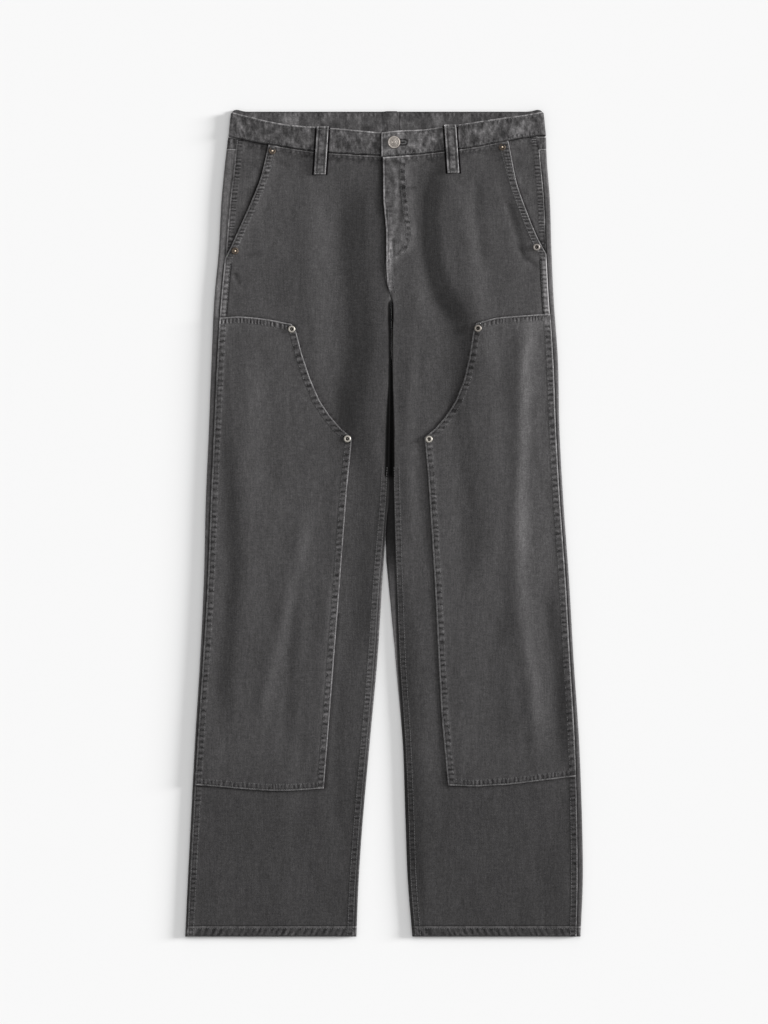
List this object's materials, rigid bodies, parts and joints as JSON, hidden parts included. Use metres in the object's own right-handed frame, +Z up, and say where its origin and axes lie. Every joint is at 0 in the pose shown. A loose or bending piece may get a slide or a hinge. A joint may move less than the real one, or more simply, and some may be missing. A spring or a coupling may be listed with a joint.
{
  "type": "double-knee carpenter pants laid flat",
  "caption": "Straight-leg work pants in washed grey canvas, lying flat face up, with doubled knee panels, slanted pockets, riveted corners and a button waist.",
  "frame": {"origin": "centre of the garment's box, on the surface it lies on", "axes": "+Z up from the surface, +Y from the hems towards the waist, +X towards the wearer's left leg"},
  "size_m": [0.5189, 1.078, 0.0115],
  "materials": {
    "canvas": "washed dark grey cotton duck canvas, matt, with pale worn edges along the seams",
    "thread": "dark grey sewing thread, slightly paler than the cloth",
    "bronze": "aged dark bronze rivets with a rubbed centre",
    "nickel": "bright nickel ring rivets with a dark centre",
    "pewter": "aged pewter shank button with plain concentric rings"
  },
  "bodies": {
    "root": {"back_right": "canvas", "back_left": "canvas", "yoke_right": "canvas", "yoke_left": "canvas", "front_right": "canvas", "front_left": "canvas", "pocket_facing_right": "canvas", "pocket_facing_left": "canvas", "knee_panel_right": "canvas", "knee_panel_left": "canvas", "fly_facing": "canvas", "waistband_right": "canvas", "waistband_left": "canvas", "belt_loop_right": "canvas", "belt_loop_left": "canvas", "belt_loop_back": "canvas", "rivet_pocket_right_upper": "bronze", "rivet_pocket_right_lower": "bronze", "rivet_pocket_left_upper": "bronze", "rivet_pocket_left_lower": "bronze", "rivet_knee_right_upper": "nickel", "rivet_knee_right_lower": "nickel", "rivet_knee_left_upper": "nickel", "rivet_knee_left_lower": "nickel", "button": "pewter"}
  },
  "joints": []
}
